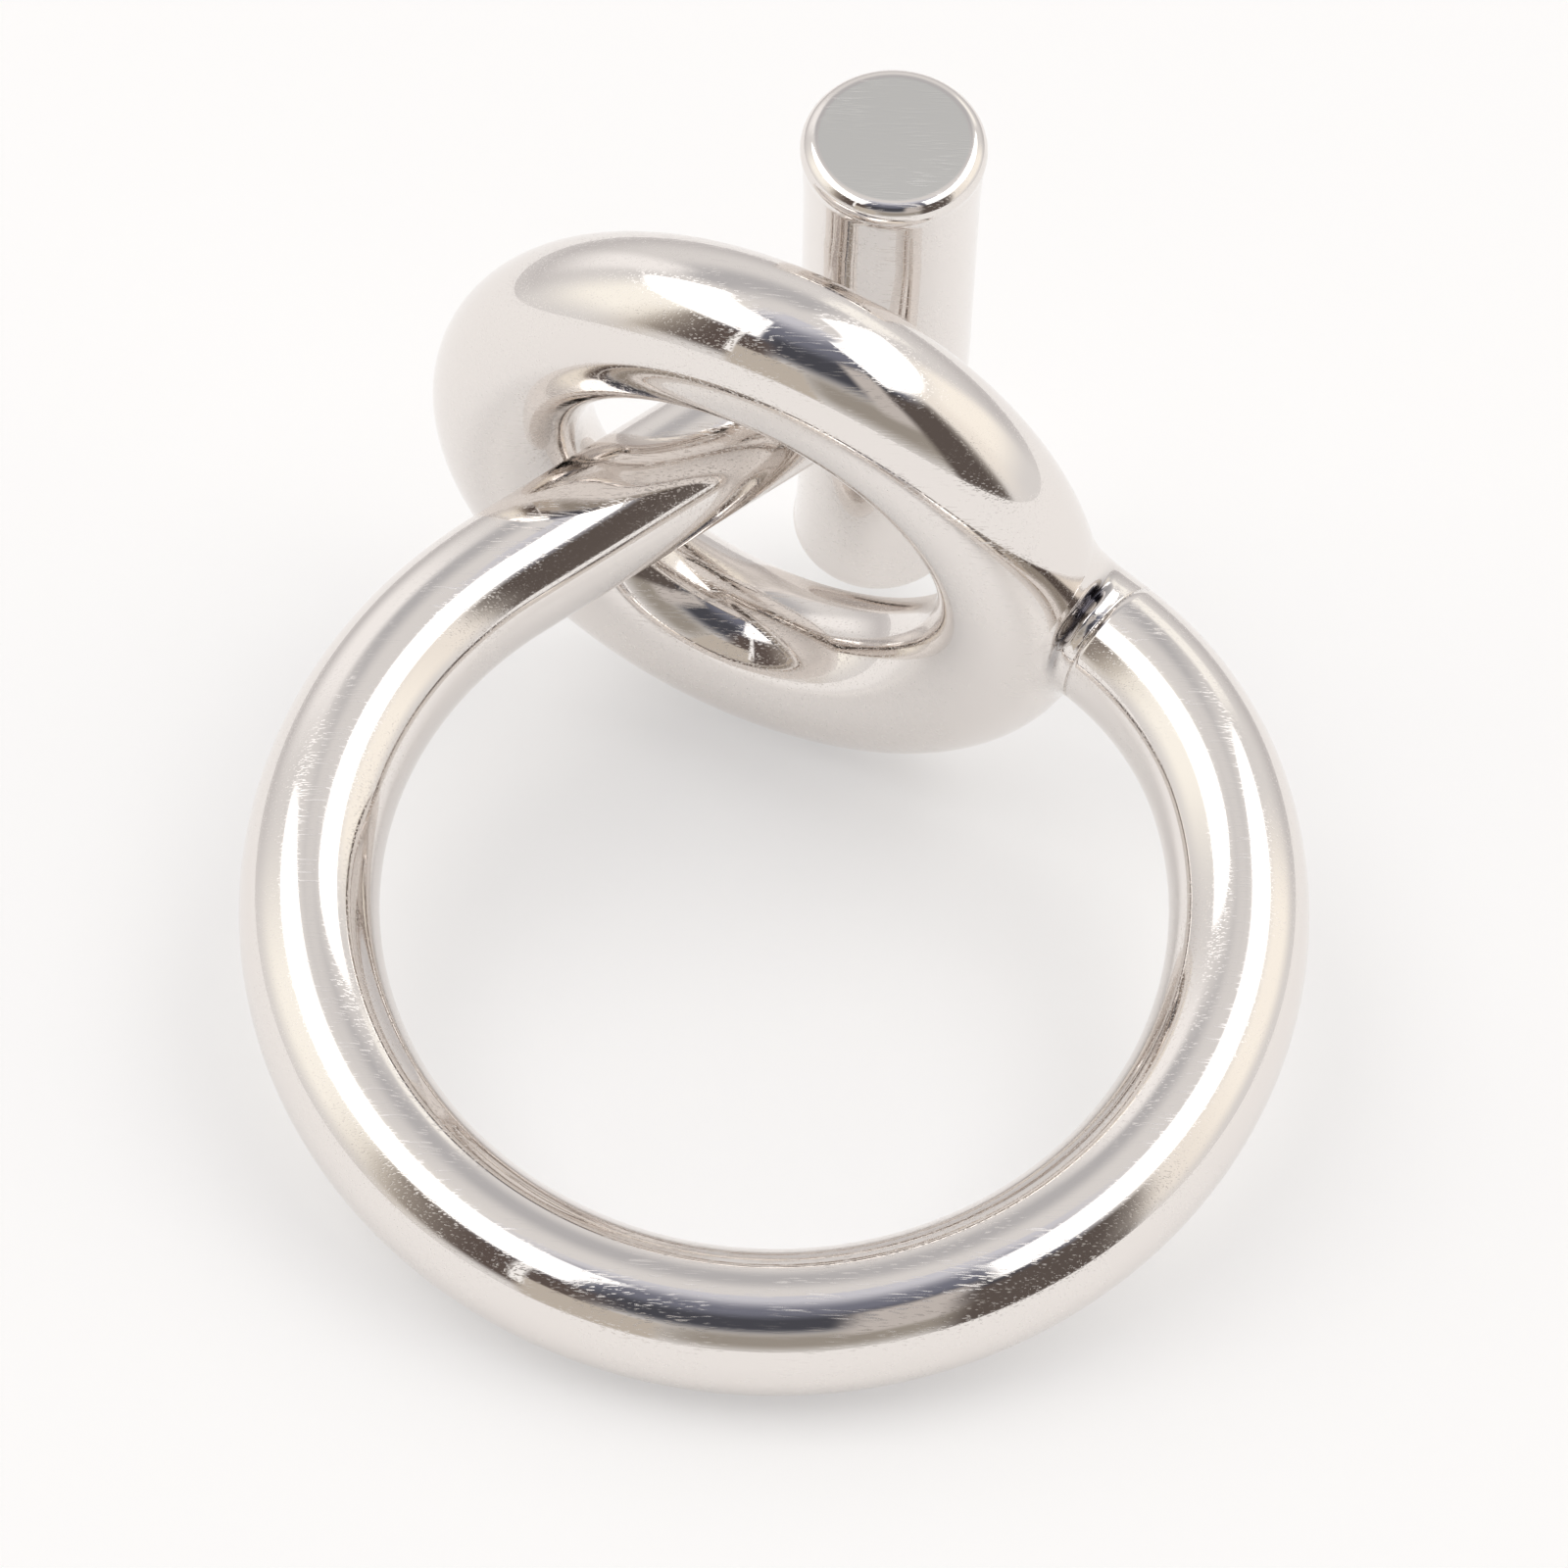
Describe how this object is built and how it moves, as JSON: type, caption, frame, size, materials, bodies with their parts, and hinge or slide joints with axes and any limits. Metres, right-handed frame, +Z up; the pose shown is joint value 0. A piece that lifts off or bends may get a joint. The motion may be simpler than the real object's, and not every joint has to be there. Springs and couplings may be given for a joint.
{
  "type": "toggle clasp finger ring",
  "caption": "Round-wire silver finger ring: one end soldered to a closed eye, the other run straight through the eye to a short cross bar.",
  "frame": {"origin": "on the table under the middle of the ring's bounding box, with the ring lying as it comes to rest on the band and on the rim of the eye", "axes": "+Z up from the table; +Y from the plain side of the band towards the eye and bar; +X to the right seen from the plain side. The finger hole's axis leans back 18.3 degrees from +Z towards -Y, and 2.6 degrees to one side"},
  "size_m": [0.0244, 0.0306, 0.0182],
  "materials": {
    "silver_shank": "mirror-polished sterling silver with fine wear scratches",
    "silver_eye": "mirror-polished sterling silver",
    "silver_bar": "mirror-polished sterling silver, flat ends finely brushed by wear",
    "silver_solder": "polished silver solder, slightly warmer and softer than the wire"
  },
  "bodies": {
    "root": {"shank": "silver_shank", "eye_ring": "silver_eye", "toggle_bar": "silver_bar", "eye_solder": "silver_solder", "bar_solder": "silver_solder"}
  },
  "joints": []
}
